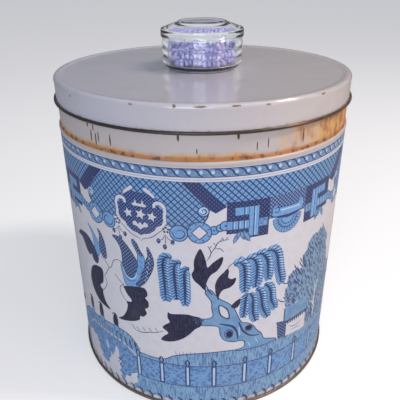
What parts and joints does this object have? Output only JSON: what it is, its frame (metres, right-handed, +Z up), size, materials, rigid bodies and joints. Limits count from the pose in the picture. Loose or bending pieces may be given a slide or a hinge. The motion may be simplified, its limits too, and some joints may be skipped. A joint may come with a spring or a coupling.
{
  "type": "cracker canister",
  "caption": "Round printed tin canister with a slip-over lid and a clear glass knob of drying crystals that vents into the tin through a screwed cap.",
  "frame": {"origin": "centre of the circle on which the folded base seam rests", "axes": "+Z up along the tin's axis; -Y is the front, towards the picture's camera; the side seam is at the back, at +Y"},
  "size_m": [0.1926, 0.1926, 0.236],
  "materials": {
    "printed_tin": "blue and white lithographed print under clear varnish, worn and rusted at the neck",
    "base_tin": "lacquered tinplate, dark and rubbed at the folded seam",
    "seam_compound": "dull",
    "lid_enamel": "satin off-white enamel, chipped at the rim, bare at the hem",
    "gasket_rubber": "dull",
    "knob_glass": "pressed clear glass, fire polished",
    "crystals": "lavender-blue granules",
    "felt": "pressed felt",
    "cap_tin": "bright tinplate"
  },
  "bodies": {
    "canister": {"body_wall": "printed_tin", "base_end": "base_tin", "base_seam_seal": "seam_compound"},
    "lid": {"lid_shell": "lid_enamel", "knob_gasket": "gasket_rubber", "knob_shell": "knob_glass", "desiccant_crystals": "crystals"},
    "felt": {"felt_disc": "felt"},
    "cap": {"vent_cap": "cap_tin"}
  },
  "joints": [
    {"name": "lid_lift", "type": "slide", "parent": "canister", "child": "lid", "axis": [0, 0, 1], "range_m": [0, 0.1]},
    {"name": "vent_cap_travel", "type": "slide", "parent": "lid", "child": "felt", "axis": [0, 0, -1], "range_m": [0, 0.0086]},
    {"name": "vent_cap_turn", "type": "hinge", "parent": "felt", "child": "cap", "pos_m": [0, 0, 0.2], "axis": [0, 0, -1], "range_deg": [0, 720]}
  ],
  "couplings": [
    {"joint": "vent_cap_travel", "follows": "vent_cap_turn", "m_per_rad": 0.00067322}
  ]
}
